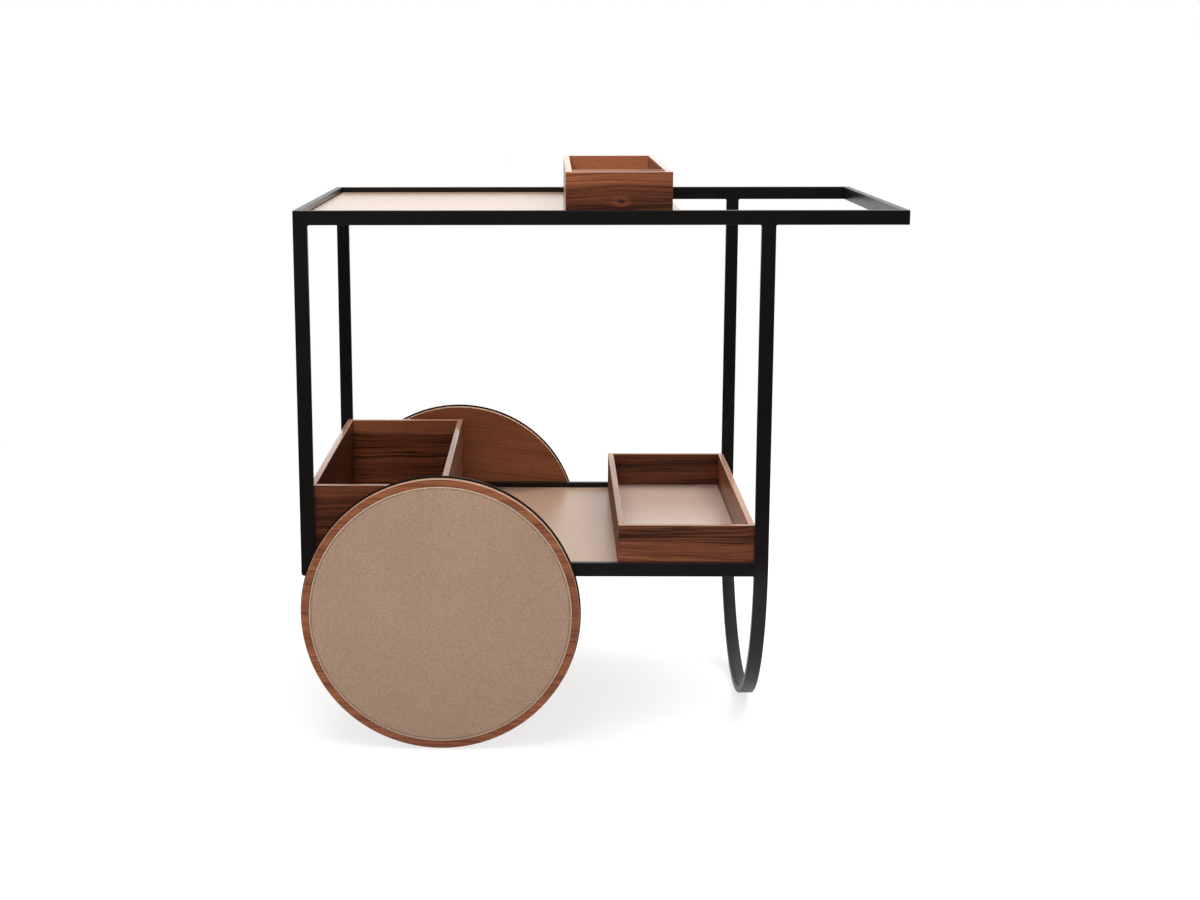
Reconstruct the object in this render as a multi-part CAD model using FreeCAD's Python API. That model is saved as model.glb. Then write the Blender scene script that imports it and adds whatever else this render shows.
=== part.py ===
import FreeCAD, Part
import math
import os

# Serving trolley: a flat-bar steel frame with a push handle and a hooped leg, two decks covered
# in leather, two large disc wheels on a fixed axle, and three loose walnut boxes.
# Millimetres, +Z up. The origin is on the floor, below the middle of the frame.
# The push handle is at +X and the front is -Y. The back half mirrors the front half, apart from
# the small box's divider, which is near the front.

os.makedirs("parts", exist_ok=True)

# Steel frame, from flat bar that stands on edge in the rails
frame_length = 850.0
frame_depth = 550.0
frame_height = 770.0
bar_width = 20.0
bar_thickness = 10.0
handle_reach = 183.0
post_corner_radius = 4.0

# Decks: a board with a leather top, sunk between the rails and screwed to ledges
deck_recess = 8.0
board_thickness = 7.5
leather_thickness = 1.5
deck_edge_gap = 1.5
top_deck_leg_gap = 104.0
ledge_width = 12.0
ledge_thickness = 3.0
cross_bar_width = 25.0
deck_screw_radius = 2.0
deck_screw_head_radius = 4.0
deck_screw_head_height = 1.8
deck_screw_bite = 5.0
deck_screw_end_margin = 40.0
deck_screws_per_ledge = 4
deck_screws_per_cross_bar = 2

# Wheels: tyre and core between two walnut discs, leather let into the outer one
wheel_radius = 200.0
wheel_frame_gap = 3.0
tyre_proud = 2.0
inner_disc_thickness = 10.0
core_thickness = 6.0
outer_disc_thickness = 10.0
disc_edge_radius = 0.8
tyre_depth = 12.0
tyre_edge_radius = 1.2
wood_ring_width = 11.0
wheel_leather_recess = 2.0
wheel_leather_proud = 0.6
wheel_leather_gap = 0.4

# Axle, hubs and what holds the wheels on
axle_drop = 50.0
axle_radius = 6.0
axle_end_radius = 5.0
running_clearance = 0.05
end_play = 0.15
spacer_play = 0.3
bush_radius = 9.0
hub_radius = 14.0
hub_flange_radius = 42.0
hub_flange_thickness = 3.0
hub_screw_circle = 30.0
hub_screw_radius = 2.0
hub_screw_head_radius = 3.8
hub_screw_head_height = 2.0
hub_screw_length = 12.0
hub_screw_count = 4
washer_radius = 11.0
washer_thickness = 1.5
nut_radius = 8.5
nut_thickness = 4.0
axle_end_overhang = 0.3
pocket_clearance = 0.5
pocket_radius = 14.0
spacer_radius = 9.0
bracket_width = 50.0
bracket_thickness = 6.0

# Loose boxes, which stand on the decks and fill the depth between the rails
box_rail_gap = 3.0
box_wall = 9.0
box_floor = 6.0
lining_thickness = 1.5
lining_gap = 0.5
top_box_end_gap = 18.0
top_box_width = 148.0
top_box_height = 60.0
divider_thickness = 6.0
divider_drop = 2.0
divider_from_front = 88.0
bottle_box_rail_gap = 2.5
bottle_box_width = 195.0
bottle_box_height = 118.0
tray_rail_gap = 8.5
tray_width = 195.0
tray_height = 60.0

# Levels and planes that several pieces share
left_end = -frame_length / 2
right_end = frame_length / 2
outer_face = frame_depth / 2
inner_face = outer_face - bar_thickness
rail_underside = frame_height - bar_width
shelf_underside = wheel_radius + axle_drop
shelf_height = shelf_underside + bar_width
leg_right = right_end - handle_reach
leg_left = leg_right - bar_width
deck_left = left_end + bar_thickness
top_deck_right = leg_left - top_deck_leg_gap
shelf_deck_right = leg_right - bar_thickness
disc_radius = wheel_radius - tyre_proud
wheel_leather_radius = disc_radius - wood_ring_width
wheel_x = left_end + wheel_radius
wheel_inner_face = outer_face + wheel_frame_gap
core_inner_face = wheel_inner_face + inner_disc_thickness
core_outer_face = core_inner_face + core_thickness
wheel_outer_face = core_outer_face + outer_disc_thickness
axle_shoulder = core_outer_face + end_play
nut_face = axle_shoulder + washer_thickness
axle_tip = nut_face + nut_thickness + axle_end_overhang
sides = {"front": -1, "back": 1}


def save(node, *solids):
    shape = solids[0] if len(solids) == 1 else Part.makeCompound(list(solids))
    shape.exportStep("parts/" + node + ".step")


def block(x, y, z):
    """A box between the low and high value of each pair."""
    size = [max(pair) - min(pair) for pair in (x, y, z)]
    return Part.makeBox(*size, FreeCAD.Vector(min(x), min(y), min(z)))


def across(side, near, far):
    """The y range between two distances from the middle, on one side of the trolley."""
    return side * near, side * far


def rod(radius, x, y, z):
    """A cylinder along y, between the two values of the pair y."""
    start = FreeCAD.Vector(x, min(y), z)
    return Part.makeCylinder(radius, max(y) - min(y), start, FreeCAD.Vector(0, 1, 0))


def bolt(x, y, z, shank_radius, shank_length, head_radius, head_height):
    """A countersunk screw that points up from the middle of its head's outer face."""
    place = FreeCAD.Vector(x, y, z)
    shank = Part.makeCylinder(shank_radius, shank_length, place)
    head = Part.makeCylinder(head_radius, head_height, place)
    return shank.fuse(head).removeSplitter()


def hoop_bar():
    """One flat bar, bent round a half circle: the two right legs and the hoop they stand on."""
    centre = FreeCAD.Vector(leg_left, 0, outer_face)

    def point(distance, height):
        return FreeCAD.Vector(leg_left, distance, height)

    def bend(radius, first, last):
        bottom = centre - FreeCAD.Vector(0, 0, radius)
        return Part.Arc(point(first, outer_face), bottom, point(last, outer_face)).toShape()

    def line(first, last):
        return Part.LineSegment(first, last).toShape()

    edges = [
        line(point(-outer_face, rail_underside), point(-outer_face, outer_face)),
        bend(outer_face, -outer_face, outer_face),
        line(point(outer_face, outer_face), point(outer_face, rail_underside)),
        line(point(outer_face, rail_underside), point(inner_face, rail_underside)),
        line(point(inner_face, rail_underside), point(inner_face, outer_face)),
        bend(inner_face, inner_face, -inner_face),
        line(point(-inner_face, outer_face), point(-inner_face, rail_underside)),
        line(point(-inner_face, rail_underside), point(-outer_face, rail_underside)),
    ]
    profile = Part.Face(Part.Wire(edges))
    return profile.extrude(FreeCAD.Vector(bar_width, 0, 0))


def post(side):
    """A left post, rounded at its free lower corner."""
    x = left_end, left_end + bar_width
    bar = block(x, across(side, inner_face, outer_face), (shelf_underside, rail_underside))

    def at_corner(edge):
        middle = edge.CenterOfMass
        low = abs(middle.z - shelf_underside) < post_corner_radius / 2
        return low and abs(middle.x - left_end) < post_corner_radius / 2

    return bar.makeFillet(post_corner_radius, [edge for edge in bar.Edges if at_corner(edge)])


hoop = hoop_bar()


def make_frame():
    top_z = rail_underside, frame_height
    shelf_z = shelf_underside, shelf_height
    between = -inner_face, inner_face
    for name, side in sides.items():
        y = across(side, inner_face, outer_face)
        save("top_" + name + "_rail", block((left_end, right_end), y, top_z))
        save(name + "_left_post", post(side))
        save("shelf_" + name + "_rail", block((left_end + bar_width, leg_left), y, shelf_z))
    save("top_left_rail", block((left_end, left_end + bar_thickness), between, top_z))
    save("handle_rail", block((right_end - bar_thickness, right_end), between, top_z))
    save("shelf_left_rail", block((left_end, left_end + bar_thickness), between, shelf_z))
    right_rail = block((shelf_deck_right, leg_right), between, shelf_z)
    save("shelf_right_rail", right_rail.cut(hoop))
    save("hoop_leg", hoop)


def evenly(low, high, count):
    """Count places from low to high."""
    return [low + (high - low) * index / (count - 1) for index in range(count)]


def deck_screws(places, height):
    length = ledge_thickness + deck_screw_bite
    head = deck_screw_head_radius, deck_screw_head_height
    return [bolt(x, y, height, deck_screw_radius, length, *head) for x, y in places]


def cut_all(shape, tools):
    for tool in tools:
        shape = shape.cut(tool)
    return shape


def make_deck(name, low_x, high_x, height, cross_bar):
    """A leather-topped board on its ledges. Returns the screws, which come from below."""
    ledge_top = height + ledge_thickness
    board_top = ledge_top + board_thickness
    ledge_end = high_x - cross_bar_width if cross_bar else high_x
    ledge_middle = inner_face - ledge_width / 2
    first_x = low_x + deck_screw_end_margin
    screw_x = evenly(first_x, ledge_end - deck_screw_end_margin, deck_screws_per_ledge)
    places = [(x, side * ledge_middle) for side in sides.values() for x in screw_x]
    if cross_bar:
        reach = ledge_middle - deck_screw_end_margin
        bar_middle = ledge_end + cross_bar_width / 2
        places += [(bar_middle, y) for y in evenly(-reach, reach, deck_screws_per_cross_bar)]
    screws = deck_screws(places, height)
    for label, side in sides.items():
        y = across(side, inner_face - ledge_width, inner_face)
        ledge = block((low_x, ledge_end), y, (height, ledge_top))
        save(name + "_" + label + "_ledge", cut_all(ledge, [hoop] + screws))
    if cross_bar:
        bar = block((ledge_end, high_x), (-inner_face, inner_face), (height, ledge_top))
        save(name + "_cross_bar", cut_all(bar, screws))
    edge = inner_face - deck_edge_gap
    right_gap = 0 if cross_bar else deck_edge_gap
    x = low_x + deck_edge_gap, high_x - right_gap
    board = block(x, (-edge, edge), (ledge_top, board_top))
    save(name + "_board", cut_all(board, [hoop] + screws))
    leather = block(x, (-edge, edge), (board_top, board_top + leather_thickness))
    save(name + "_leather", leather.cut(hoop))
    return screws


def make_decks():
    stack = ledge_thickness + board_thickness + leather_thickness + deck_recess
    top = make_deck("top", deck_left, top_deck_right, frame_height - stack, True)
    shelf = make_deck("shelf", deck_left, shelf_deck_right, shelf_height - stack, False)
    save("deck_screws", *top, *shelf)


def make_axle():
    """A fixed axle through two brackets under the shelf rails."""
    bar = rod(axle_radius, wheel_x, (-axle_shoulder, axle_shoulder), wheel_radius)
    tips = rod(axle_end_radius, wheel_x, (-axle_tip, axle_tip), wheel_radius)
    save("axle", bar.fuse(tips).removeSplitter())
    spacers, washers, nuts = [], [], []
    for name, side in sides.items():
        y = across(side, outer_face - bracket_thickness, outer_face)
        half = bracket_width / 2
        plate = block((wheel_x - half, wheel_x + half), y, (wheel_radius, shelf_underside))
        plate = plate.fuse(rod(half, wheel_x, y, wheel_radius)).removeSplitter()
        save(name + "_axle_bracket", plate.cut(rod(axle_radius, wheel_x, y, wheel_radius)))
        y = across(side, outer_face, wheel_inner_face - spacer_play)
        ring = rod(spacer_radius, wheel_x, y, wheel_radius)
        spacers.append(ring.cut(rod(axle_radius, wheel_x, y, wheel_radius)))
        y = across(side, axle_shoulder, nut_face)
        ring = rod(washer_radius, wheel_x, y, wheel_radius)
        washers.append(ring.cut(rod(axle_end_radius, wheel_x, y, wheel_radius)))
        y = across(side, nut_face, nut_face + nut_thickness)
        nuts.append(hexagon(y).cut(rod(axle_end_radius, wheel_x, y, wheel_radius)))
    save("axle_spacers", *spacers)
    save("axle_washers", *washers)
    save("axle_nuts", *nuts)


def hexagon(y):
    """A nut's outer shape, round the axle."""
    sixth = math.tau / 6
    points = []
    for corner in range(6):
        x = wheel_x + nut_radius * math.cos(corner * sixth)
        z = wheel_radius + nut_radius * math.sin(corner * sixth)
        points.append(FreeCAD.Vector(x, min(y), z))
    face = Part.Face(Part.makePolygon(points + points[:1]))
    return face.extrude(FreeCAD.Vector(0, max(y) - min(y), 0))


def round_rims(shape, radius, edge_radius):
    """Rounds every full circle of the given radius on a disc."""
    rims = []
    for edge in shape.Edges:
        if isinstance(edge.Curve, Part.Circle) and abs(edge.Curve.Radius - radius) < edge_radius / 2:
            rims.append(edge)
    return shape.makeFillet(edge_radius, rims)


def hub_screws(side):
    """Countersunk screws that hold a hub's flange to the inner disc."""
    screws = []
    head = across(side, wheel_inner_face, wheel_inner_face + hub_screw_head_height)
    shank = across(side, wheel_inner_face, wheel_inner_face + hub_screw_length)
    for index in range(hub_screw_count):
        angle = math.tau * (index + 0.5) / hub_screw_count
        x = wheel_x + hub_screw_circle * math.cos(angle)
        z = wheel_radius + hub_screw_circle * math.sin(angle)
        body = rod(hub_screw_radius, x, shank, z).fuse(rod(hub_screw_head_radius, x, head, z))
        screws.append(body.removeSplitter())
    return screws


def make_wheel(name, side):
    prefix = name + "_wheel_"

    def round_piece(radius, near, far):
        return rod(radius, wheel_x, across(side, near, far), wheel_radius)

    screws = hub_screws(side)
    flange = round_piece(hub_flange_radius, wheel_inner_face, wheel_inner_face + hub_flange_thickness)
    barrel = round_piece(hub_radius, wheel_inner_face, core_outer_face)
    hub_blank = flange.fuse(barrel).removeSplitter()
    bush_hole = round_piece(bush_radius, wheel_inner_face, core_outer_face)
    save(prefix + "hub", cut_all(hub_blank, [bush_hole] + screws))
    axle_hole = round_piece(axle_radius + running_clearance, wheel_inner_face, core_outer_face)
    save(prefix + "bush", bush_hole.cut(axle_hole))
    save(prefix + "hub_screws", *screws)

    inner = round_piece(disc_radius, wheel_inner_face, core_inner_face)
    inner = round_rims(inner, disc_radius, disc_edge_radius)
    save(prefix + "inner_disc", cut_all(inner, [hub_blank] + screws))
    core_radius = wheel_radius - tyre_depth
    core = round_piece(core_radius, core_inner_face, core_outer_face)
    save(prefix + "core", cut_all(core, [hub_blank] + screws))
    tyre = round_piece(wheel_radius, core_inner_face, core_outer_face)
    tyre = round_rims(tyre, wheel_radius, tyre_edge_radius)
    save(prefix + "tyre", tyre.cut(core))

    outer = round_piece(disc_radius, core_outer_face, wheel_outer_face)
    outer = round_rims(outer, disc_radius, disc_edge_radius)
    leather_seat = wheel_outer_face - wheel_leather_recess
    recess = round_piece(wheel_leather_radius + wheel_leather_gap, leather_seat, wheel_outer_face)
    pocket = round_piece(pocket_radius, core_outer_face, axle_tip + pocket_clearance)
    save(prefix + "outer_disc", cut_all(outer, [recess, pocket]))
    leather = round_piece(wheel_leather_radius, leather_seat, wheel_outer_face + wheel_leather_proud)
    save(prefix + "leather", round_rims(leather, wheel_leather_radius, wheel_leather_proud / 2))


def wall(corners, base, height):
    """An upright wall over four corners of its mitred plan."""
    points = [FreeCAD.Vector(x, y, base) for x, y in corners]
    face = Part.Face(Part.makePolygon(points + points[:1]))
    return face.extrude(FreeCAD.Vector(0, 0, height))


def make_box(name, low, width, height, base, lined):
    """An open box with mitred walls and a floor let in between them."""
    high = low + width
    reach = inner_face - box_rail_gap
    outer = [(low, -reach), (high, -reach), (high, reach), (low, reach)]
    low_in, high_in, reach_in = low + box_wall, high - box_wall, reach - box_wall
    inner = [(low_in, -reach_in), (high_in, -reach_in), (high_in, reach_in), (low_in, reach_in)]
    for index, side in enumerate(("front", "right", "back", "left")):
        after = (index + 1) % len(outer)
        corners = [outer[index], outer[after], inner[after], inner[index]]
        save(name + "_" + side + "_wall", wall(corners, base, height))
    floor_top = base + box_floor
    save(name + "_floor", block((low_in, high_in), (-reach_in, reach_in), (base, floor_top)))
    if lined:
        x = low_in + lining_gap, high_in - lining_gap
        y = lining_gap - reach_in, reach_in - lining_gap
        save(name + "_lining", block(x, y, (floor_top, floor_top + lining_thickness)))


def make_divider(low, base):
    """A cross wall in the small box, a little lower than its walls."""
    low_in = low + box_wall
    high_in = low + top_box_width - box_wall
    front = box_rail_gap - inner_face + divider_from_front
    z = base + box_floor, base + top_box_height - divider_drop
    save("top_box_divider", block((low_in, high_in), (front, front + divider_thickness), z))


def make_boxes():
    top_deck = frame_height - deck_recess
    shelf_deck = shelf_height - deck_recess
    top_box_low = top_deck_right - top_box_end_gap - top_box_width
    make_box("top_box", top_box_low, top_box_width, top_box_height, top_deck, False)
    make_divider(top_box_low, top_deck)
    bottle_box_low = deck_left + bottle_box_rail_gap
    make_box("bottle_box", bottle_box_low, bottle_box_width, bottle_box_height, shelf_deck, False)
    tray_low = shelf_deck_right - tray_rail_gap - tray_width
    make_box("tray", tray_low, tray_width, tray_height, shelf_deck, True)


make_frame()
make_decks()
make_axle()
for wheel_name, wheel_side in sides.items():
    make_wheel(wheel_name, wheel_side)
make_boxes()
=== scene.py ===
import math

import bmesh
import bpy
from bpy.props import FloatProperty, FloatVectorProperty, IntProperty, PointerProperty
from mathutils import Matrix, Vector


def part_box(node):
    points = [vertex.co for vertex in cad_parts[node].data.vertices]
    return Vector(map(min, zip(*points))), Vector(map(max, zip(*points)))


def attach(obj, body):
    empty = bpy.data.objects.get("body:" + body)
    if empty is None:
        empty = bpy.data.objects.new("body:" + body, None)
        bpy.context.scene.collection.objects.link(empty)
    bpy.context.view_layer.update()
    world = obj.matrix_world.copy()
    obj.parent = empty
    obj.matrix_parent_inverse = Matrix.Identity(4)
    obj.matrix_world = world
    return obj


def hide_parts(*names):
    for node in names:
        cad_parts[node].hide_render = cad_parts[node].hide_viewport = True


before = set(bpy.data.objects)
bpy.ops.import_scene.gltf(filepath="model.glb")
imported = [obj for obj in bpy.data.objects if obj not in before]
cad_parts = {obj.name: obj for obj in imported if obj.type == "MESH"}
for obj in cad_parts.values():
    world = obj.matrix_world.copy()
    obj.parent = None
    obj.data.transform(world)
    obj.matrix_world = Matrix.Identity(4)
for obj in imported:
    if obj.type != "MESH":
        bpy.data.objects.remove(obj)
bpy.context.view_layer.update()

bl_info = {
    "name": "Serving trolley",
    "version": (1, 0, 0),
    "blender": (4, 5, 0),
    "location": "3D View > Sidebar > Trolley",
    "description": "Dresses a serving trolley in coated steel, walnut and stitched leather",
    "category": "Object",
}

X, Y, Z = range(3)

# Outward corners over SHARP_ANGLE are eased, and edges under SMOOTH_ANGLE are shaded smooth
SHARP_ANGLE = math.radians(30)
SMOOTH_ANGLE = math.radians(36)

# In metres, how near a point counts as on a level, and how near two points are merged
TINY = 1e-5
MERGE_DISTANCE = 1e-6


def colour(name, description, default):
    return FloatVectorProperty(
        name=name, description=description, subtype="COLOR", size=3, min=0, max=1, default=default
    )


def length(name, description, default):
    return FloatProperty(name=name, description=description, default=default, min=0, unit="LENGTH")


class TrolleySizes(bpy.types.PropertyGroup):
    """Sizes of the details that are modelled here, in metres"""

    steel_edge: length("Bar edge", "Radius along the flat bar's edges", 0.0008)
    post_corner: length("Post corner", "Radius of each left post's free lower corner", 0.004)
    weld_radius: length("Weld", "Radius of the weld beads inside the corners", 0.0013)
    weld_pitch: length("Weld pitch", "Distance between the ripples of a weld bead", 0.0011)
    wood_edge: length("Wood edge", "Radius along the walnut's eased edges", 0.0008)
    leather_edge: length("Leather edge", "Radius along the leather's cut edges", 0.0006)
    leather_gap: length("Leather gap", "Gap round the leather that is let into a wheel", 0.0004)
    rubber_edge: length("Tyre edge", "Radius along the tyre's edges", 0.0005)
    groove_width: length("Groove width", "Width of the groove that the stitches lie in", 0.0018)
    groove_depth: length("Groove depth", "Depth of the groove that the stitches lie in", 0.0005)
    stitch_inset: length("Stitch inset", "Distance from the leather's edge to the stitches", 0.0031)
    stitch_length: length("Stitch", "Length of one stitch", 0.0026)
    stitch_gap: length("Stitch gap", "Gap between two stitches", 0.0013)
    thread_radius: length("Thread", "Radius of the thread", 0.0005)
    stitch_lean: FloatProperty(
        name="Stitch lean", description="Turn of each stitch from the line",
        default=0.09, subtype="ANGLE",
    )
    round_steps: IntProperty(
        name="Round steps", description="Sides of a turned piece", default=192, min=24
    )
    edge_steps: IntProperty(
        name="Edge steps", description="Facets across an eased edge", default=3, min=1
    )


class TrolleyColours(bpy.types.PropertyGroup):
    """Base colours of the finishes"""

    coat: colour("Coat", "Black powder coat on the steel", (0.0054, 0.0045, 0.0042))
    walnut_dark: colour("Walnut, dark", "Darkest stripes of the walnut", (0.030, 0.0098, 0.0052))
    walnut_middle: colour("Walnut, middle", "Main tone of the walnut", (0.150, 0.045, 0.0190))
    walnut_light: colour("Walnut, light", "Lightest bands of the walnut", (0.320, 0.114, 0.0500))
    # Painted highlight: the pale colour laid along the walnut walls' top edges and the discs' rims
    walnut_edge_highlight: colour("Walnut, edge highlight", "Cut edges of the walnut boards", (0.50, 0.31, 0.21))
    leather: colour("Leather", "Sand leather of the wheels", (0.375, 0.246, 0.166))
    # One sand leather: the decks' colours are the wheels' darkened as painted shade, the top deck's most,
    # and the lining's is paler, partly its own colour and partly painted light
    top_leather: colour("Top leather", "Leather of the upper deck", (0.320, 0.214, 0.147))
    shelf_leather: colour("Shelf leather", "Leather of the lower deck", (0.330, 0.219, 0.150))
    lining: colour("Lining", "Leather in the tray", (0.418, 0.313, 0.254))
    leather_rim: colour("Leather rim", "Pale rolled edge of the wheel leather", (0.56, 0.41, 0.30))
    thread: colour("Thread", "Stitching thread", (0.040, 0.026, 0.019))
    rubber: colour("Rubber", "Tyres", (0.0090, 0.0072, 0.0064))
    plywood: colour("Plywood", "Boards under the leather", (0.56, 0.40, 0.24))
    zinc: colour("Zinc", "Plated axle, nuts, washers and screws", (0.60, 0.60, 0.58))
    bronze: colour("Bronze", "Bushes", (0.52, 0.33, 0.14))
    floor: colour("Floor", "Studio floor", (0.82, 0.82, 0.82))


def sizes():
    return bpy.context.scene.trolley_sizes


def colours():
    return bpy.context.scene.trolley_colours


# Node helpers


def feed(tree, node, inputs):
    """Gives each named input of a node its value, or a link from a socket."""
    for key, value in inputs.items():
        if isinstance(value, bpy.types.NodeSocket):
            tree.links.new(value, node.inputs[key])
        else:
            node.inputs[key].default_value = value


def put(tree, kind, inputs=None, **settings):
    """A new node with its settings and its inputs."""
    made = tree.nodes.new(kind)
    for key, value in settings.items():
        setattr(made, key, value)
    feed(tree, made, inputs or {})
    return made


def maths(tree, operation, *values):
    """The result of a Math node."""
    return put(tree, "ShaderNodeMath", dict(enumerate(values)), operation=operation).outputs[0]


def times(tree, first, second):
    return maths(tree, "MULTIPLY", first, second)


def vectors(tree, operation, *values):
    """The result of a Vector Math node that gives a vector."""
    return put(tree, "ShaderNodeVectorMath", dict(enumerate(values)), operation=operation).outputs[0]


def length_of(tree, vector):
    return put(tree, "ShaderNodeVectorMath", {0: vector}, operation="LENGTH").outputs["Value"]


def axes_of(tree, vector):
    """A vector's X, Y and Z."""
    return put(tree, "ShaderNodeSeparateXYZ", {0: vector}).outputs


def noise(tree, vector, scale, detail=2.0, roughness=0.5):
    """Plain noise, from 0 to 1."""
    inputs = {"Vector": vector, "Scale": scale, "Detail": detail, "Roughness": roughness}
    return put(tree, "ShaderNodeTexNoise", inputs).outputs["Fac"]


def stretch(tree, vector, scale):
    """A vector multiplied by one number per axis."""
    return vectors(tree, "MULTIPLY", vector, scale)


def span(tree, value, low, high, to_low=0.0, to_high=1.0):
    """A value mapped smoothly from one range to another, and held at its ends."""
    inputs = {"Value": value, "From Min": low, "From Max": high, "To Min": to_low, "To Max": to_high}
    made = put(tree, "ShaderNodeMapRange", inputs, interpolation_type="SMOOTHSTEP")
    return made.outputs["Result"]


def close_to(tree, level, edge, begins, full=0.0002):
    """Rises from 0 to 1 between two distances short of an edge."""
    return span(tree, level, edge - begins, edge - full)


def from_centre(tree, place, centre):
    """The distance from a wheel's axis, which runs along Y."""
    return length_of(tree, stretch(tree, vectors(tree, "SUBTRACT", place, tuple(centre)), (1, 0, 1)))


def blend_colours(tree, factor, first, second):
    """A mix of two colours, which are the Mix node's inputs 6 and 7. Its output 2 is their mix."""
    made = put(tree, "ShaderNodeMix", {0: factor, 6: first, 7: second}, data_type="RGBA")
    return made.outputs[2]


def mix_shaders(tree, factor, *shaders):
    """One shader mixed with another, or with black where only one is given."""
    return put(tree, "ShaderNodeMixShader", dict(enumerate((factor, *shaders)))).outputs[0]


def opaque(paint, share=1.0):
    """A colour as a node takes it, darkened or lightened by a share."""
    return (*[min(1.0, value * share) for value in paint], 1.0)


def new_group(name, inputs, outputs):
    """A node group with named sockets. Returns it with its input sockets and its output node."""
    tree = bpy.data.node_groups.new(name, "ShaderNodeTree")
    for label, kind, value in inputs:
        socket = tree.interface.new_socket(name=label, in_out="INPUT", socket_type=kind)
        if value is not None:
            socket.default_value = value
    for label in outputs:
        tree.interface.new_socket(name=label, in_out="OUTPUT", socket_type="NodeSocketFloat")
    given = tree.nodes.new("NodeGroupInput").outputs
    return tree, given, tree.nodes.new("NodeGroupOutput")


VECTOR = "NodeSocketVector"
NUMBER = "NodeSocketFloat"

# How far a knot bends the grain round it, and how strongly
KNOT_REACH = 0.010
KNOT_PUSH = 0.85


def walnut_figure():
    """Walnut with its grain along X and its width along Z: stripes, fine lines, pores and a knot."""
    inputs = [
        ("Vector", VECTOR, None),
        ("Stripe Width", NUMBER, 0.012),
        ("Waviness", NUMBER, 0.006),
        ("Pale Edge", NUMBER, 0.0),
        ("Pale Gain", NUMBER, 0.0),
        ("Knot", VECTOR, (0, 0, 0)),
        ("Knot Push", NUMBER, 0.0),
    ]
    tree, given, result = new_group("Walnut figure", inputs, ["Tone", "Pores", "Height"])
    place = given["Vector"]

    # The grain sways slowly and ripples quickly, and it bends round a knot
    wander = noise(tree, stretch(tree, place, (4.5, 14, 11)), 1.0, 1.5)
    ripple = noise(tree, stretch(tree, place, (16, 60, 48)), 1.0, 2.0)
    sway = times(tree, maths(tree, "SUBTRACT", wander, 0.5), 4.0)
    sway = maths(tree, "MULTIPLY_ADD", maths(tree, "SUBTRACT", ripple, 0.5), 0.9, sway)
    axes = axes_of(tree, place)
    level = maths(tree, "MULTIPLY_ADD", sway, given["Waviness"], axes["Z"])
    from_knot = stretch(tree, vectors(tree, "SUBTRACT", place, given["Knot"]), (0.6, 1, 1))
    distance = length_of(tree, from_knot)
    reach = maths(tree, "DIVIDE", distance, KNOT_REACH)
    hill = maths(tree, "EXPONENT", times(tree, times(tree, reach, reach), -1.0))
    push = times(tree, hill, given["Knot Push"])
    to_knot = maths(tree, "SUBTRACT", axes_of(tree, given["Knot"])["Z"], level)
    level = maths(tree, "MULTIPLY_ADD", to_knot, push, level)
    across = maths(tree, "DIVIDE", level, given["Stripe Width"])

    def streaks(along, depth, share, detail, roughness=0.5):
        """Noise around zero, drawn out along the grain. share is how many streaks a stripe holds."""
        inputs = {
            "X": times(tree, axes["X"], along),
            "Y": times(tree, axes["Y"], depth),
            "Z": times(tree, across, share),
        }
        made = put(tree, "ShaderNodeCombineXYZ", inputs).outputs[0]
        return maths(tree, "SUBTRACT", noise(tree, made, 1.0, detail, roughness), 0.5)

    # Streaks of each size, from wide bands to fibres, and dark rings, mostly in the darker stripes
    bands = streaks(along=1.6, depth=6, share=0.55, detail=1.0)
    stripes = streaks(along=3.0, depth=10, share=1.8, detail=2.0)
    lines = streaks(along=5, depth=24, share=8.5, detail=2.0, roughness=0.6)
    fibres = streaks(along=22, depth=150, share=30, detail=2.0, roughness=0.6)
    rings = maths(tree, "ABSOLUTE", streaks(along=2.2, depth=9, share=2.4, detail=1.0))
    rings = span(tree, rings, 0.0, 0.09, 1.0, 0.0)
    rings = times(tree, rings, span(tree, stripes, -0.15, 0.12, 1.0, 0.25))
    tone = 0.57
    for layer, share in (bands, 0.8), (stripes, 0.5), (lines, 1.15), (fibres, 0.6), (rings, -0.3):
        tone = maths(tree, "MULTIPLY_ADD", layer, share, tone)
    above = span(tree, maths(tree, "SUBTRACT", level, given["Pale Edge"]), -0.004, 0.004, -0.5, 0.5)
    tone = maths(tree, "MULTIPLY_ADD", above, given["Pale Gain"], tone)

    # The knot has a pale halo and a dark, ragged core
    halo = times(tree, span(tree, distance, 0.0045, 0.0100, 0.2, 0.0), given["Knot Push"])
    crack = maths(tree, "SUBTRACT", noise(tree, place, 420.0, 2.0, 0.6), 0.5)
    core = span(tree, maths(tree, "MULTIPLY_ADD", crack, 0.009, distance), 0.0018, 0.0034, 0.8, 0.0)
    core = times(tree, core, given["Knot Push"])
    tone = maths(tree, "SUBTRACT", maths(tree, "ADD", tone, halo), core)

    # Short open pores, most of them in the darker lines
    pores = noise(tree, stretch(tree, place, (110, 1100, 1100)), 1.0, 1.0)
    in_dark = span(tree, lines, -0.1, 0.08, 1.0, 0.35)
    pores = times(tree, span(tree, pores, 0.58, 0.70), in_dark)
    height = maths(tree, "MULTIPLY_ADD", pores, -0.7, times(tree, fibres, 0.5))
    feed(tree, result, {"Tone": tone, "Pores": pores, "Height": height})
    return tree


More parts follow.
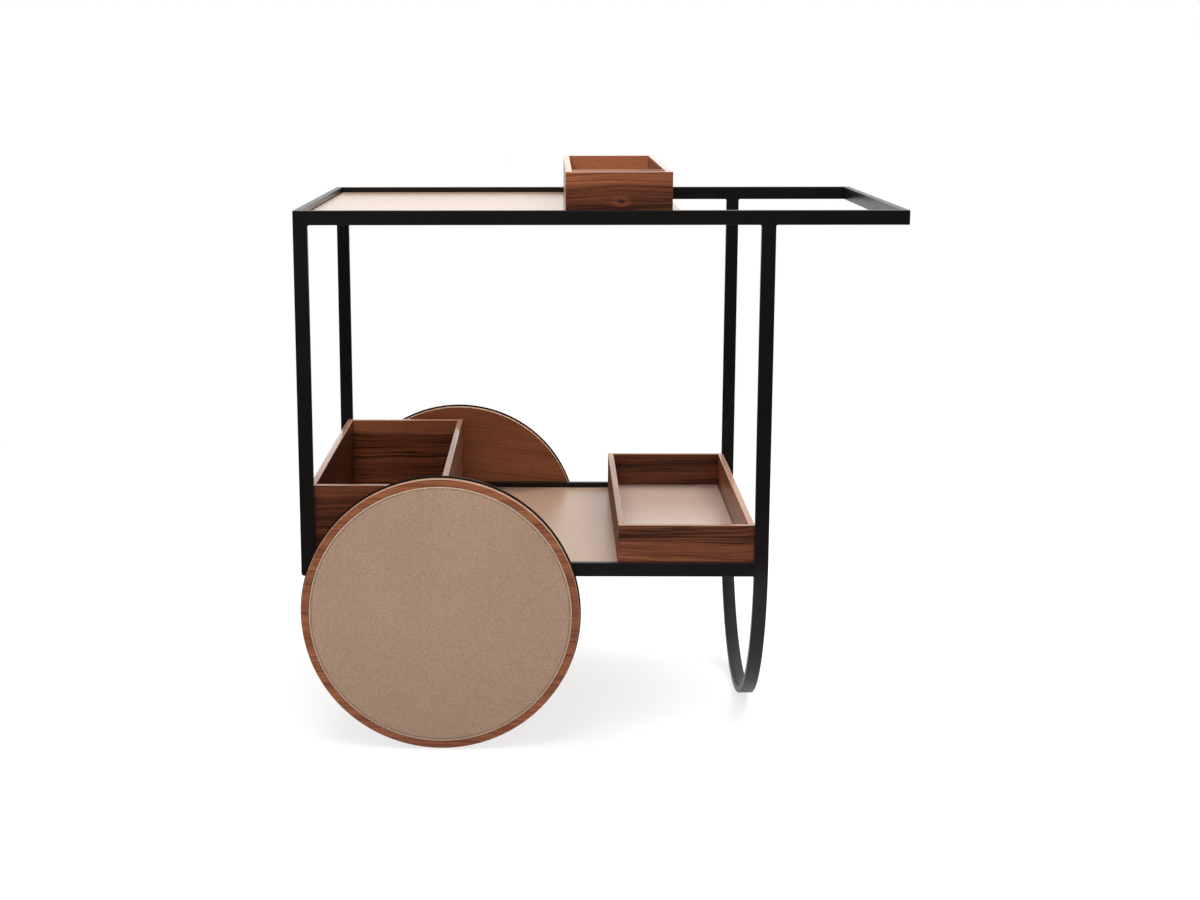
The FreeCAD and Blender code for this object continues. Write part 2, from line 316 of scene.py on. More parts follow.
def leather_grain():
    """Pebbled leather: rounded cells of mixed size, with creases, and a soft change of tone."""
    inputs = [("Vector", VECTOR, None), ("Pebble", NUMBER, 0.0016)]
    tree, given, result = new_group("Leather grain", inputs, ["Height", "Creases", "Mottle"])
    place = given["Vector"]
    scale = maths(tree, "DIVIDE", 1.0, given["Pebble"])
    drift = put(tree, "ShaderNodeTexNoise", {"Vector": place, "Scale": 160.0, "Detail": 2.0})
    shift = vectors(tree, "SUBTRACT", drift.outputs["Color"], (0.5, 0.5, 0.5))
    bent = vectors(tree, "ADD", place, stretch(tree, shift, (0.0028, 0.0028, 0.0028)))
    inputs = {"Vector": bent, "Scale": scale}
    cells = put(tree, "ShaderNodeTexVoronoi", inputs, feature="DISTANCE_TO_EDGE")
    domes = span(tree, cells.outputs["Distance"], 0.0, 0.34)
    small = noise(tree, place, times(tree, scale, 2.4), 3.0, 0.6)
    height = maths(tree, "MULTIPLY_ADD", small, 0.35, domes)
    cloud = noise(tree, place, 7.0, 2.0, 0.5)
    fleck = noise(tree, place, 240.0, 3.0, 0.6)
    mottle = maths(tree, "MULTIPLY_ADD", fleck, 0.6, times(tree, cloud, 0.4))
    creases = span(tree, cells.outputs["Distance"], 0.0, 0.2, 1.0, 0.0)
    feed(tree, result, {"Height": height, "Creases": creases, "Mottle": mottle})
    return tree


def fine_grain():
    """The skin of a coated, moulded or plated surface: orange peel, with slow changes of gloss."""
    inputs = [("Vector", VECTOR, None), ("Peel", NUMBER, 900.0)]
    tree, given, result = new_group("Fine grain", inputs, ["Height", "Gloss", "Specks"])
    peel = noise(tree, given["Vector"], given["Peel"], 2.0, 0.55)
    cloud = noise(tree, given["Vector"], 24.0, 4.0, 0.6)
    specks = span(tree, noise(tree, given["Vector"], 1900.0, 1.0), 0.68, 0.76)
    feed(tree, result, {"Height": peel, "Gloss": cloud, "Specks": specks})
    return tree


def group_node(tree, build, name, inputs):
    """One use of a shared node group, which is built the first time."""
    group = bpy.data.node_groups.get(name) or build()
    return put(tree, "ShaderNodeGroup", inputs, node_tree=group).outputs


def fine_skin(tree, place, peel):
    return group_node(tree, fine_grain, "Fine grain", {"Vector": place, "Peel": peel})


def new_material(name):
    """A material with a Principled shader. Returns it, its tree, its shader and Object coordinates."""
    material = bpy.data.materials.new(name)
    material.use_nodes = True
    tree = material.node_tree
    shader = tree.nodes["Principled BSDF"]
    place = put(tree, "ShaderNodeTexCoord").outputs["Object"]
    return material, tree, shader, place


def raise_surface(tree, shader, height, depth):
    """Bump from a height between 0 and 1, where depth is its real depth in metres."""
    bump = put(tree, "ShaderNodeBump", {"Height": height, "Strength": 1.0, "Distance": depth})
    feed(tree, shader, {"Normal": bump.outputs["Normal"]})


def finish(name, build):
    """A shared material, which is built the first time."""
    return bpy.data.materials.get(name) or build(name)


# Finishes


def coated_steel(name):
    material, tree, shader, place = new_material(name)
    skin = fine_skin(tree, place, 1100.0)
    base, lifted = opaque(colours().coat), opaque(colours().coat, 1.3)
    feed(tree, shader, {
        "Base Color": blend_colours(tree, skin["Gloss"], base, lifted),
        "Roughness": span(tree, skin["Gloss"], 0.3, 0.7, 0.29, 0.33),
        "Specular IOR Level": 0.35,
    })
    raise_surface(tree, shader, skin["Height"], depth=0.000014)
    return material


def walnut(name, grain, turn=0.0, shift=(0, 0, 0), stripe=0.012, waviness=0.006, lift=0.0, **marks):
    """Oiled walnut. The grain runs along x or y, or flat along y, and turn tips it in the face's plane.

    The marks are contrast, dull, knot (a point), pale (the height of an edge, and how much paler the
    wood is above it), sheets (an axis, the level on it where a wall's inner face begins,
    and the lift before and beyond it, which is painted light and shade on that face), and top (the
    height of a wall's top) or rim (a disc's centre and radius), where a highlight is painted along it.
    """
    material, tree, shader, place = new_material(name)
    quarter = math.pi / 2
    rotation = {"x": (0, turn, 0), "y": (0, 0, -quarter), "flat": (quarter, quarter, 0)}[grain]
    mapped = put(tree, "ShaderNodeMapping", {"Vector": place, "Rotation": rotation, "Location": shift})
    inputs = {"Vector": mapped.outputs[0], "Stripe Width": stripe, "Waviness": waviness}
    if "knot" in marks:
        inputs["Knot"] = marks["knot"] + Vector(shift)
        inputs["Knot Push"] = KNOT_PUSH
    if "pale" in marks:
        edge, gain = marks["pale"]
        inputs["Pale Edge"] = edge + shift[Z]
        inputs["Pale Gain"] = gain
    figure = group_node(tree, walnut_figure, "Walnut figure", inputs)
    contrast = marks.get("contrast", 1.0)
    tone = maths(tree, "MULTIPLY_ADD", figure["Tone"], contrast, 0.5 - contrast / 2 + lift)
    axes = axes_of(tree, place)
    # Painted light and shade: a wall's inner face is made lighter or darker than its outer face
    if "sheets" in marks:
        axis, inside_level, before, beyond = marks["sheets"]
        sheet = span(tree, axes[axis], inside_level - 0.0002, inside_level + 0.0002, before, beyond)
        tone = maths(tree, "ADD", tone, sheet)
    paint = colours()
    dark, middle = opaque(paint.walnut_dark), opaque(paint.walnut_middle)
    low = blend_colours(tree, span(tree, tone, 0.0, 0.5), dark, middle)
    wood = blend_colours(tree, span(tree, tone, 0.45, 1.0), low, opaque(paint.walnut_light))
    wood = blend_colours(tree, times(tree, figure["Pores"], 0.5), wood, dark)
    dull = marks.get("dull", 0.0)
    rough = span(tree, tone, 0.0, 1.0, 0.28 + dull, 0.34 + dull)
    edge = None
    if "top" in marks:
        edge = close_to(tree, axes["Z"], marks["top"], begins=0.0007)
        highlight_share = 0.5
    if "rim" in marks:
        centre, radius = marks["rim"]
        edge = close_to(tree, from_centre(tree, place, centre), radius, begins=0.0007)
        highlight_share = 0.95
    # Painted highlight: the top edge or the rim is blended toward the pale edge colour, where it catches
    # the light
    if edge:
        pale = times(tree, edge, highlight_share)
        wood = blend_colours(tree, pale, wood, opaque(paint.walnut_edge_highlight))
        rough = maths(tree, "MULTIPLY_ADD", edge, -0.15 - dull, rough)
    feed(tree, shader, {"Base Color": wood, "Roughness": rough, "Specular IOR Level": 0.22})
    raise_surface(tree, shader, figure["Height"], depth=0.00001)
    return material


def leather(name, paint, pebble, depth, creases, sheen, rough, rim=None):
    """Leather of the colour paint, whose edge is paler where rim gives a (centre, radius).

    creases is how much shade is painted into its creases, and rough is the roughness of its creases and
    of its pebbles.
    """
    material, tree, shader, place = new_material(name)
    grain = group_node(tree, leather_grain, "Leather grain", {"Vector": place, "Pebble": pebble})
    # The smoother the leather, the less its tone changes
    start = 0.3 - 0.5 * (0.6 - rough[0])
    mottle = span(tree, grain["Mottle"], start, 1.0 - start)
    skin = blend_colours(tree, mottle, opaque(paint, 0.98), opaque(paint, 1.16))
    # Painted shade: the creases are darkened toward a shaded copy of the leather's colour
    painted_crease_shade = times(tree, grain["Creases"], creases)
    skin = blend_colours(tree, painted_crease_shade, skin, opaque(paint, 0.55))
    if rim:
        centre, radius = rim
        edge = close_to(tree, from_centre(tree, place, centre), radius, begins=0.0005)
        skin = blend_colours(tree, edge, skin, opaque(colours().leather_rim))
    feed(tree, shader, {
        "Base Color": skin,
        "Roughness": span(tree, grain["Height"], 0.1, 1.1, *rough),
        "Sheen Weight": sheen,
        "Sheen Roughness": 0.35,
    })
    raise_surface(tree, shader, grain["Height"], depth)
    return material


def grained_leather(name, paint, rim):
    """The wheels' leather, with full pebbles."""
    return leather(name, paint, 0.0031, 0.0005, creases=0.55, sheen=0.22, rough=(0.6, 0.46), rim=rim)


def polished_leather(name, paint, smooth):
    """The leather of the decks and the tray, pressed nearly flat."""
    return leather(name, paint, 0.0024, 0.00002, creases=0.12, sheen=0.0, rough=(smooth + 0.03, smooth))


def thread(name):
    material, tree, shader, place = new_material(name)
    skin = fine_skin(tree, place, 2600.0)
    dark, light = opaque(colours().thread, 0.6), opaque(colours().thread)
    feed(tree, shader, {
        "Base Color": blend_colours(tree, skin["Height"], dark, light),
        "Roughness": 0.75,
    })
    raise_surface(tree, shader, skin["Height"], depth=0.00008)
    return material


def rubber(name):
    material, tree, shader, place = new_material(name)
    skin = fine_skin(tree, place, 1500.0)
    dusty = opaque([value * 1.8 + 0.002 for value in colours().rubber])
    dust = times(tree, skin["Gloss"], 0.6)
    feed(tree, shader, {
        "Base Color": blend_colours(tree, dust, opaque(colours().rubber), dusty),
        "Roughness": span(tree, skin["Gloss"], 0.3, 0.7, 0.8, 0.92),
        "Specular IOR Level": 0.0,
    })
    raise_surface(tree, shader, skin["Height"], depth=0.00005)
    return material


def plywood(name, ply=0.0015):
    """Birch plywood: fine figure on its faces, and its plies along its edges."""
    material, tree, shader, place = new_material(name)
    mapped = put(tree, "ShaderNodeMapping", {"Vector": place, "Rotation": (math.pi / 2, 0, 0)})
    inputs = {"Vector": mapped.outputs[0], "Stripe Width": 0.03, "Waviness": 0.012}
    figure = group_node(tree, walnut_figure, "Walnut figure", inputs)
    layer = maths(tree, "PINGPONG", maths(tree, "DIVIDE", axes_of(tree, place)["Z"], ply), 1.0)
    layer = times(tree, span(tree, layer, 0.42, 0.58), 0.7)
    light, tan = opaque(colours().plywood), opaque(colours().plywood, 0.72)
    wood = blend_colours(tree, layer, light, tan)
    wood = blend_colours(tree, span(tree, figure["Tone"], 0.1, 0.6, 0.45, 0.0), wood, tan)
    feed(tree, shader, {"Base Color": wood, "Roughness": 0.62})
    raise_surface(tree, shader, figure["Height"], depth=0.00005)
    return material


def plated(name, tint, roughness):
    """Plated or sintered metal, with slow changes of gloss and fine specks."""
    material, tree, shader, place = new_material(name)
    skin = fine_skin(tree, place, 1200.0)
    feed(tree, shader, {
        "Base Color": blend_colours(tree, skin["Specks"], opaque(tint), opaque(tint, 0.75)),
        "Metallic": 1.0,
        "Roughness": span(tree, skin["Gloss"], 0.3, 0.7, roughness * 0.8, roughness),
    })
    raise_surface(tree, shader, skin["Height"], depth=0.00002)
    return material


def zinc(name):
    return plated(name, colours().zinc, roughness=0.34)


def bronze(name):
    return plated(name, colours().bronze, roughness=0.42)


# Mesh helpers


def extent(*nodes):
    """Lowest and highest corner round CAD nodes at rest."""
    lows, highs = zip(*[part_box(node) for node in nodes])
    low = Vector([min(values) for values in zip(*lows)])
    high = Vector([max(values) for values in zip(*highs)])
    return low, high


def thickness_of(node):
    """How thick a front bar or wall is, from its front to its back."""
    low, high = extent(node)
    return high.y - low.y


def add_box(bm, low, high):
    place = Matrix.Translation((low + high) / 2) @ Matrix.Diagonal((*(high - low), 1))
    bmesh.ops.create_cube(bm, size=1, matrix=place)


def ease(bm, radius, pick=None, segments=None):
    """Rounds the outward corners, or those of them that pick chooses."""
    edges = [edge for edge in bm.edges if edge.is_manifold]
    edges = [edge for edge in edges if edge.calc_face_angle_signed() > SHARP_ANGLE]
    if pick:
        edges = [edge for edge in edges if pick(edge)]
    bmesh.ops.bevel(
        bm, geom=edges, offset=radius, offset_type="OFFSET", affect="EDGES",
        segments=segments or sizes().edge_steps, profile=0.5, material=-1, clamp_overlap=True,
    )


def lies_at(edge, axis, level):
    return all(abs(vert.co[axis] - level) < TINY for vert in edge.verts)


def clear_of(axis, *levels):
    """Chooses the edges that don't lie in an end face, at one of the levels on an axis."""
    def pick(edge):
        return not any(lies_at(edge, axis, level) for level in levels)

    return pick


def fill_openings(bm):
    """Closes every hole in a mesh with one face each."""
    bmesh.ops.holes_fill(bm, edges=[edge for edge in bm.edges if edge.is_boundary], sides=0)


def add_piece(name, bm, material, body, stands_for=()):
    """A finished piece from a bmesh: it gets its material and rides on its body."""
    bmesh.ops.recalc_face_normals(bm, faces=bm.faces)
    for face in bm.faces:
        face.smooth = True
    mesh = bpy.data.meshes.new(name)
    bm.to_mesh(mesh)
    bm.free()
    mesh.set_sharp_from_angle(angle=SMOOTH_ANGLE)
    mesh.materials.append(material)
    piece = bpy.data.objects.new(name, mesh)
    bpy.context.scene.collection.objects.link(piece)
    evened = piece.modifiers.new("Even shading", "WEIGHTED_NORMAL")
    evened.keep_sharp = True
    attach(piece, body)
    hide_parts(*stands_for)
    return piece


def dress(material, *nodes):
    """Gives CAD nodes a finished material."""
    for node in nodes:
        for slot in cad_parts[node].material_slots:
            slot.material = material


def ring(low, high, thickness, radius):
    """A rectangle of upright walls with eased edges, open above and below."""
    bm = bmesh.new()
    add_box(bm, low, high)
    ends = [face for face in bm.faces if abs(face.normal.z) > 0.5]
    bmesh.ops.inset_individual(bm, faces=ends, thickness=thickness, use_even_offset=True)
    rims = [edge for face in ends for edge in face.edges]
    bmesh.ops.delete(bm, geom=ends, context="FACES_ONLY")
    bmesh.ops.bridge_loops(bm, edges=rims)
    bmesh.ops.recalc_face_normals(bm, faces=bm.faces)
    ease(bm, radius)
    return bm


def cut_away(bm, point, normal):
    """Removes what lies beyond a plane, and closes the cut."""
    everything = bm.verts[:] + bm.edges[:] + bm.faces[:]
    bmesh.ops.bisect_plane(bm, geom=everything, plane_co=point, plane_no=normal, clear_outer=True)
    fill_openings(bm)


def sweep(bm, geom, centre, axis, angle, steps, merge=False, copies=False):
    """Turns geometry round an axis, into one skin or into separate copies."""
    bmesh.ops.spin(
        bm, geom=geom, cent=centre, axis=axis, dvec=(0, 0, 0), angle=angle, steps=steps,
        space=Matrix.Identity(4), use_merge=merge, use_duplicate=copies,
    )


def turned(outline, centre):
    """A round piece: an outline of (radius, y) points turned round the axle's line."""
    bm = bmesh.new()
    verts = [bm.verts.new((centre.x + radius, y, centre.z)) for radius, y in outline]
    edges = [bm.edges.new(pair) for pair in zip(verts, verts[1:])]
    sweep(bm, verts + edges, centre, (0, 1, 0), math.tau, sizes().round_steps, merge=True)
    bmesh.ops.remove_doubles(bm, verts=bm.verts, dist=MERGE_DISTANCE)
    bmesh.ops.recalc_face_normals(bm, faces=bm.faces)
    return bm


# The steel frame


class TROLLEY_OT_steel_frame(bpy.types.Operator):
    """Builds the welded flat-bar frame: the top frame, posts, shelf rails, hoop and welds"""

    bl_idname = "trolley.steel_frame"
    bl_label = "Steel frame"

    def execute(self, context):
        self.coat = finish("Black coat", coated_steel)
        self.edge = sizes().steel_edge
        self.thickness = thickness_of("top_front_rail")
        rails = "top_front_rail", "top_back_rail", "top_left_rail", "handle_rail"
        low, high = extent(*rails)
        self.add("top_frame", ring(low, high, self.thickness, self.edge), rails)
        self.shelf_bars()
        self.posts()
        self.hoop(low.z)
        self.welds(low.z)
        dress(self.coat, "front_axle_bracket", "back_axle_bracket", "top_front_ledge", "top_back_ledge")
        dress(self.coat, "shelf_front_ledge", "shelf_back_ledge", "top_cross_bar")
        return {"FINISHED"}

    def add(self, name, bm, stands_for=()):
        add_piece(name, bm, self.coat, "frame", stands_for)

    def bar(self, node, axis, low_end=True):
        """A bar whose welded ends reach into their neighbours by the radius of their eased edges.

        Returns it with the choice of its edges that are eased. Its high end is always welded.
        """
        low, high = extent(node)
        ends = []
        if low_end:
            low[axis] -= self.edge
            ends.append(low[axis])
        high[axis] += self.edge
        ends.append(high[axis])
        bm = bmesh.new()
        add_box(bm, low, high)
        return bm, clear_of(axis, *ends)

    def shelf_bars(self):
        for name, axis in {"front": X, "back": X, "left": Y, "right": Y}.items():
            node = "shelf_" + name + "_rail"
            bm, pick = self.bar(node, axis)
            ease(bm, self.edge, pick)
            self.add("shelf_" + name + "_bar", bm, [node])

    def posts(self):
        """The left posts, with one corner rounded at their free lower ends."""
        for name in ("front", "back"):
            node = name + "_left_post"
            bm, pick = self.bar(node, Z, low_end=False)
            low = extent(node)[0]

            def outer_corner(edge):
                return lies_at(edge, X, low.x) and lies_at(edge, Z, low.z)

            ease(bm, sizes().post_corner, outer_corner, segments=8)
            ease(bm, self.edge, pick)
            self.add(name + "_post", bm, [node])

    def hoop(self, top):
        """The two right legs and their half circle, from one bar."""
        low, high = extent("hoop_leg")
        centre = Vector(((low.x + high.x) / 2, 0, high.y))
        bm = bmesh.new()
        outer, inner = low.y, low.y + self.thickness
        corners = (low.x, outer), (high.x, outer), (high.x, inner), (low.x, inner)
        section = bm.faces.new([bm.verts.new((x, y, centre.z)) for x, y in corners])
        bmesh.ops.bevel(
            bm, geom=section.verts[:], offset=self.edge, offset_type="OFFSET", affect="VERTICES",
            segments=sizes().edge_steps, profile=0.5, material=-1,
        )
        bmesh.ops.delete(bm, geom=bm.faces[:], context="FACES_ONLY")
        sweep(bm, bm.verts[:] + bm.edges[:], centre, (1, 0, 0), math.pi, sizes().round_steps // 2)
        ends = [edge for edge in bm.edges if edge.is_boundary]
        made = bmesh.ops.extrude_edge_only(bm, edges=ends)["geom"]
        raised = [item for item in made if isinstance(item, bmesh.types.BMVert)]
        bmesh.ops.translate(bm, verts=raised, vec=(0, 0, top + self.edge - centre.z))
        fill_openings(bm)
        self.add("hoop", bm, ["hoop_leg"])

    def welds(self, top):
        """Beads in the inside corners, where one bar butts against another."""
        low, high = extent("shelf_front_rail")
        hoop_low, hoop_high = extent("hoop_leg")
        left_low, left_high = extent("shelf_left_rail")
        right_low, right_high = extent("shelf_right_rail")
        radius = sizes().weld_radius
        bm = bmesh.new()
        for side in (-1, 1):
            outer = side * hoop_high.y
            inner = outer - side * self.thickness
            margin = side * radius
            across = (
                (low.x, top), (hoop_low.x, top), (hoop_high.x, top),
                (low.x, high.z), (high.x, high.z), (high.x, low.z),
            )
            for x, z in across:
                self.bead(bm, (x, inner + margin, z), (x, outer - margin, z))
            inside = (
                (left_high.x, left_low.z + radius, left_high.x, left_high.z - radius),
                (left_low.x + radius, left_high.z, left_high.x, left_high.z),
                (right_low.x, right_high.z, right_high.x - radius, right_high.z),
            )
            for x, z, end_x, end_z in inside:
                self.bead(bm, (x, inner, z), (end_x, inner, end_z))
        self.add("weld_beads", bm)

    def bead(self, bm, start, end):
        """A line of overlapping ripples."""
        start, end = Vector(start), Vector(end)
        radius = sizes().weld_radius
        count = max(2, round((end - start).length / sizes().weld_pitch))
        for index in range(count + 1):
            place = Matrix.Translation(start.lerp(end, index / count))
            bmesh.ops.create_uvsphere(bm, u_segments=8, v_segments=6, radius=radius, matrix=place)


# The decks


class TROLLEY_OT_decks(bpy.types.Operator):
    """Builds the leather tops of both decks, and finishes the boards and fixings below them"""

    bl_idname = "trolley.decks"
    bl_label = "Decks"

    def execute(self, context):
        # The top deck's leather is darker than the shelf's as painted shade
        skins = {"top": (colours().top_leather, 0.18), "shelf": (colours().shelf_leather, 0.23)}
        for name, (paint, smooth) in skins.items():
            node = name + "_leather"
            bm = bmesh.new()
            add_box(bm, *extent(node))
            ease(bm, sizes().leather_edge)
            skin = polished_leather(name.capitalize() + " leather", paint, smooth)
            add_piece(name + "_deck_leather", bm, skin, "frame", [node])
        dress(finish("Plywood", plywood), "top_board", "shelf_board")
        dress(finish("Zinc plate", zinc), "deck_screws")
        return {"FINISHED"}


# The wheels


class TROLLEY_OT_wheels(bpy.types.Operator):
    """Builds both wheels: walnut discs, tyre, leather inlay and its stitches"""

    bl_idname = "trolley.wheels"
    bl_label = "Wheels"

    def execute(self, context):
        for name, side in {"front": -1, "back": 1}.items():
            self.wheel(name + "_wheel", side)
        return {"FINISHED"}

    def wheel(self, body, side):
        low, high = extent(body + "_outer_disc")
        self.centre = (low + high) / 2
        self.centre.y = 0
        self.body = body
        self.side = side
        self.disc("outer_disc", "outside", turn=-0.03, lift=0.18)
        self.disc("inner_disc", "inside", turn=-0.11, lift=0.46)
        self.tyre()
        self.inlay()
        dress(finish("Plywood", plywood), body + "_core")
        dress(finish("Zinc plate", zinc), body + "_hub", body + "_hub_screws")
        dress(finish("Bronze", bronze), body + "_bush")

    def faces(self, node):
        """The y of a node's faces, nearest the trolley first."""
        low, high = extent(self.body + "_" + node)
        return (low.y, high.y) if self.side > 0 else (high.y, low.y)

    def radius(self, node):
        low, high = extent(self.body + "_" + node)
        return (high.x - low.x) / 2

    def disc(self, node, label, turn, lift):
        near, far = self.faces(node)
        radius = self.radius(node)
        if node == "outer_disc":
            recess = self.radius("leather") + sizes().leather_gap
            seat = self.faces("leather")[0]
            outline = [(0, near), (radius, near), (radius, far), (recess, far), (recess, seat), (0, seat)]
        else:
            hole = self.radius("hub")
            outline = [(hole, near), (radius, near), (radius, far), (hole, far), (hole, near)]
        bm = turned(outline, self.centre)
        ease(bm, sizes().wood_edge)
        shift = (0.3 * self.side, 0, 0.17 if label == "inside" else 0.4)
        name = "Walnut disc " + label + (" back" if self.side > 0 else " front")
        figure = {"turn": turn, "shift": shift, "stripe": 0.0105, "waviness": 0.004, "lift": lift}
        # The disc's rim gets a painted highlight
        wood = walnut(name, "x", **figure, contrast=0.75, rim=(self.centre, radius))
        add_piece(self.body + "_" + label, bm, wood, self.body, [self.body + "_" + node])

    def tyre(self):
        near, far = self.faces("tyre")
        outer = self.radius("tyre")
        inner = self.radius("core")
        outline = [(inner, near), (outer, near), (outer, far), (inner, far), (inner, near)]
        bm = turned(outline, self.centre)
        ease(bm, sizes().rubber_edge, segments=5)
        black = finish("Tyre rubber", rubber)
        add_piece(self.body + "_band", bm, black, self.body, [self.body + "_tyre"])

    def inlay(self):
        """The leather disc, with a groove for its stitches."""
        near, far = self.faces("leather")
        radius = self.radius("leather")
        groove = radius - sizes().stitch_inset
        half = sizes().groove_width / 2
        bed = far - self.side * (sizes().groove_depth + sizes().thread_radius / 4)
        outline = [
            (0, near), (radius, near), (radius, far),
            (groove + half, far), (groove, bed), (groove - half, far), (0, far),
        ]
        bm = turned(outline, self.centre)
        ease(bm, sizes().leather_edge)
        rim = (self.centre, radius - sizes().leather_edge)
        skin = grained_leather("Wheel leather " + self.body, colours().leather, rim)
        add_piece(self.body + "_inlay", bm, skin, self.body, [self.body + "_leather"])
        self.stitches(groove, bed)

    def stitches(self, radius, bed):
        size = sizes()
        count = round(math.tau * radius / (size.stitch_length + size.stitch_gap))
        shape = Matrix.Diagonal((size.thread_radius, size.thread_radius, size.stitch_length / 2, 1))
        first = Matrix.Translation((self.centre.x + radius, bed, self.centre.z))
        lean = Matrix.Rotation(size.stitch_lean, 4, "Y")
        bm = bmesh.new()
        bmesh.ops.create_uvsphere(bm, u_segments=6, v_segments=6, radius=1, matrix=first @ lean @ shape)
        stitch = bm.verts[:] + bm.edges[:] + bm.faces[:]
        steps = count - 1
        sweep(bm, stitch, self.centre, (0, 1, 0), math.tau * steps / count, steps, copies=True)
        twine = finish("Thread", thread)
        add_piece(self.body + "_stitches", bm, twine, self.body)


class TROLLEY_OT_axle(bpy.types.Operator):
    """Finishes the axle and what holds the wheels on it"""

    bl_idname = "trolley.axle"
    bl_label = "Axle"

    def execute(self, context):
        dress(finish("Zinc plate", zinc), "axle", "axle_nuts", "axle_spacers", "axle_washers")
        return {"FINISHED"}


# The loose boxes

# Each wall of a box, in order round it, and the axis that its grain runs along
WALLS = {"front": "x", "right": "y", "back": "x", "left": "y"}


class BoxOperator:
    """What the operators of the three boxes share"""

    # How far into a wall from its inner face the painted light and shade of that face reaches
    inside_margin = 0.0005

    def walls(self, name, figures):
        """Four mitred walls, cut from one eased ring. figures holds the look of each one's grain."""
        nodes = [name + "_" + side + "_wall" for side in WALLS]
        low, high = extent(*nodes)
        thickness = thickness_of(nodes[0])
        plan = (low.x, low.y), (high.x, low.y), (high.x, high.y), (low.x, high.y)
        corners = [Vector((*corner, 0)) for corner in plan]
        for index, (side, grain) in enumerate(WALLS.items()):
            start = corners[index]
            end = corners[(index + 1) % len(corners)]
            along = (end - start).normalized()
            inward = Vector((-along.y, along.x, 0))
            bm = ring(low, high, thickness, sizes().wood_edge)
            past_wall = start + inward * thickness * 1.5
            cut_away(bm, past_wall, inward)
            cut_away(bm, start, inward - along)
            cut_away(bm, end, inward + along)
            label = name.replace("_", " ").capitalize() + " " + side
            # Each wall gets a painted highlight along its top edge
            wood = walnut(label, grain, top=high.z, **figures[side])
            add_piece(name + "_" + side, bm, wood, name, [nodes[index]])

    def floor(self, name, **figure):
        wood = walnut(name.replace("_", " ").capitalize() + " floor", "flat", **figure)
        dress(wood, name + "_floor")


class TROLLEY_OT_small_box(BoxOperator, bpy.types.Operator):
    """Builds the small box on the upper deck, with its divider"""

    bl_idname = "trolley.small_box"
    bl_label = "Small box"

    def execute(self, context):
        figures = {
            "front": {"shift": (0.1, 0, 0.02), "stripe": 0.014, "waviness": 0.005, "lift": -0.16},
            "right": {"shift": (0.4, 0, 0.1), "lift": 0.1},
            "back": {"shift": (0.7, 0, 0.3), "stripe": 0.016, "lift": 0.1, "contrast": 0.8},
            "left": {"shift": (1.1, 0, 0.5), "lift": 0.1},
        }
        low, high = extent("top_box_front_wall")
        size = high - low
        knot = Vector((low.x + size.x * 0.518, low.y, low.z + size.z * 0.33))
        figures["front"].update(contrast=0.85, knot=knot, pale=(low.z + size.z * 0.7, 0.55))
        inner_face = extent("top_box_back_wall")[0].y
        # Painted light: the back wall's inner face is lighter than its outer face
        figures["back"]["sheets"] = ("Y", inner_face + self.inside_margin, 0.65, 0.0)
        self.walls("top_box", figures)
        self.floor("top_box", stripe=0.014, lift=0.1)
        bm = bmesh.new()
        low, high = extent("top_box_divider")
        add_box(bm, low, high)
        ease(bm, sizes().wood_edge, clear_of(X, low.x, high.x))
        # The divider gets a painted highlight along its top edge
        wood = walnut("Small box divider", "x", shift=(0, 0, 0.8), stripe=0.01, lift=0.1, top=high.z)
        add_piece("top_box_partition", bm, wood, "top_box", ["top_box_divider"])
        return {"FINISHED"}


class TROLLEY_OT_bottle_box(BoxOperator, bpy.types.Operator):
    """Builds the tall bottle box at the left of the lower deck"""

    bl_idname = "trolley.bottle_box"
    bl_label = "Bottle box"

    def execute(self, context):
        figures = {
            # Painted shade: the front and right walls get a lower lift than the others, where the trolley
            # shades them
            "front": {"shift": (0.2, 0, 0.6), "stripe": 0.011, "waviness": 0.005, "lift": -0.26},
            "right": {"shift": (0.5, 0, 0.2), "lift": -0.25, "dull": 0.2},
            "back": {"shift": (0.9, 0, 0.9), "waviness": 0.005, "lift": 0.38, "contrast": 1.5},
            "left": {"shift": (1.3, 0, 1.3), "lift": -0.1},
        }
        inner_corner = extent("bottle_box_left_wall")[1]
        # Painted light and shade: a lighter band along the top 20 mm of the back wall, and the wall below
        # it darker
        figures["back"]["pale"] = (inner_corner.z - 0.020, 0.8)
        # Painted shade: the left wall's inner face is darker than its outer face
        figures["left"]["sheets"] = ("X", inner_corner.x - self.inside_margin, 0.0, -0.5)
        self.walls("bottle_box", figures)
        self.floor("bottle_box", shift=(0.2, 0, 0.4))
        return {"FINISHED"}


class TROLLEY_OT_tray(BoxOperator, bpy.types.Operator):
    """Builds the shallow tray at the right of the lower deck, with its leather lining"""

    bl_idname = "trolley.tray"
    bl_label = "Tray"

    def execute(self, context):
        figures = {
            "front": {"shift": (0.6, 0, 0.1), "stripe": 0.013, "waviness": 0.007, "lift": 0.04},
            "right": {"shift": (0.3, 0, 0.5), "lift": 0.05},
            "back": {"shift": (0.1, 0, 1.1), "stripe": 0.011, "lift": -0.14},
            # Painted shade: the left wall is darkened against its bright grazing reflection
            "left": {"shift": (0.8, 0, 1.5), "lift": -0.15, "dull": 0.25},
        }
        low, high = extent("tray_front_wall")
        figures["front"]["pale"] = (low.z + (high.z - low.z) * 0.36, -0.3)
        self.walls("tray", figures)
        self.floor("tray", shift=(0.5, 0, 0.7))
        bm = bmesh.new()
        add_box(bm, *extent("tray_lining"))
        ease(bm, sizes().leather_edge)
        # The lining's leather is paler than the decks', partly its own colour and partly painted light
        skin = polished_leather("Lining leather", colours().lining, 0.21)
        add_piece("tray_leather", bm, skin, "tray", ["tray_lining"])
        return {"FINISHED"}


# The studio

